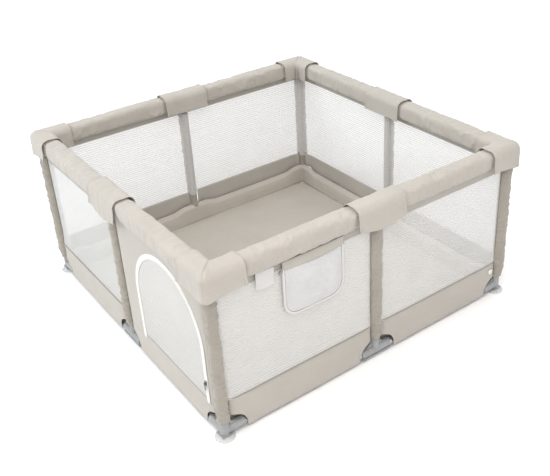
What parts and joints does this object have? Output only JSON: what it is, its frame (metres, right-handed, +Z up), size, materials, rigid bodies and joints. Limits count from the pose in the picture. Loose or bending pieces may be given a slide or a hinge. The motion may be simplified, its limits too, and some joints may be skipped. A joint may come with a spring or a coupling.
{
  "type": "playpen",
  "caption": "Square fabric playpen with padded top rails, mesh sides, an arched zip door, a toy pocket and suction feet.",
  "frame": {"origin": "on the floor under the middle of the playpen", "axes": "+Z up; -Y is the front, whose right half holds the zip door; +X is the side with the toy pocket"},
  "size_m": [1.27, 1.27, 0.61],
  "materials": {
    "steel": "satin",
    "grey_plastic": "satin",
    "clear_rubber": "gloss",
    "beige_cloth": "matte",
    "mat_cloth": "matte",
    "white_mesh": "matte",
    "white_cloth": "matte",
    "zip_metal": "satin"
  },
  "bodies": {
    "frame": {"bottom_tube_front": "steel", "top_tube_front": "steel", "bottom_tube_right": "steel", "top_tube_right": "steel", "bottom_tube_back": "steel", "top_tube_back": "steel", "bottom_tube_left": "steel", "top_tube_left": "steel", "post_front_left": "steel", "post_mid_front": "steel", "post_front_right": "steel", "post_mid_right": "steel", "post_back_right": "steel", "post_mid_back": "steel", "post_back_left": "steel", "post_mid_left": "steel", "top_elbow_front_left": "grey_plastic", "top_tee_front": "grey_plastic", "corner_foot_front_left": "grey_plastic", "mid_foot_front": "grey_plastic", "top_elbow_front_right": "grey_plastic", "top_tee_right": "grey_plastic", "corner_foot_front_right": "grey_plastic", "mid_foot_right": "grey_plastic", "top_elbow_back_right": "grey_plastic", "top_tee_back": "grey_plastic", "corner_foot_back_right": "grey_plastic", "mid_foot_back": "grey_plastic", "top_elbow_back_left": "grey_plastic", "top_tee_left": "grey_plastic", "corner_foot_back_left": "grey_plastic", "mid_foot_left": "grey_plastic", "rail_pad_front_1": "beige_cloth", "rail_pad_front_2": "beige_cloth", "rail_pad_right_1": "beige_cloth", "rail_pad_right_2": "beige_cloth", "rail_pad_back_1": "beige_cloth", "rail_pad_back_2": "beige_cloth", "rail_pad_left_1": "beige_cloth", "rail_pad_left_2": "beige_cloth", "corner_cover_front_left": "beige_cloth", "mid_cover_front": "beige_cloth", "corner_cover_front_right": "beige_cloth", "mid_cover_right": "beige_cloth", "corner_cover_back_right": "beige_cloth", "mid_cover_back": "beige_cloth", "corner_cover_back_left": "beige_cloth", "mid_cover_left": "beige_cloth", "mesh_wall": "white_mesh", "door_surround": "beige_cloth", "floor_mat": "mat_cloth", "toy_pocket": "white_cloth"},
    "door": {"door_panel": "white_mesh"},
    "zip_slider_body": {"zip_slider": "zip_metal"},
    "zip_pull_body": {"zip_pull": "zip_metal"},
    "cup_front_left": {"suction_cup_front_left": "clear_rubber"},
    "cup_front_right": {"suction_cup_front_right": "clear_rubber"},
    "cup_back_right": {"suction_cup_back_right": "clear_rubber"},
    "cup_back_left": {"suction_cup_back_left": "clear_rubber"}
  },
  "joints": [
    {"name": "door_fold", "type": "hinge", "parent": "frame", "child": "door", "pos_m": [0.343, -0.6115, 0.109], "axis": [1, 0, 0], "range_deg": [-98, 0]},
    {"name": "zip_travel", "type": "slide", "parent": "frame", "child": "zip_slider_body", "axis": [0, 0, 1], "range_m": [-0.05, 0.11]},
    {"name": "pull_swing", "type": "hinge", "parent": "zip_slider_body", "child": "zip_pull_body", "pos_m": [0.5475, -0.6193, 0.185], "axis": [1, 0, 0], "range_deg": [-150, 0]},
    {"name": "cup_turn_front_left", "type": "hinge", "parent": "frame", "child": "cup_front_left", "pos_m": [-0.597, -0.597, 0.01], "axis": [0, 0, 1], "continuous": true},
    {"name": "cup_turn_front_right", "type": "hinge", "parent": "frame", "child": "cup_front_right", "pos_m": [0.597, -0.597, 0.01], "axis": [0, 0, 1], "continuous": true},
    {"name": "cup_turn_back_right", "type": "hinge", "parent": "frame", "child": "cup_back_right", "pos_m": [0.597, 0.597, 0.01], "axis": [0, 0, 1], "continuous": true},
    {"name": "cup_turn_back_left", "type": "hinge", "parent": "frame", "child": "cup_back_left", "pos_m": [-0.597, 0.597, 0.01], "axis": [0, 0, 1], "continuous": true}
  ]
}
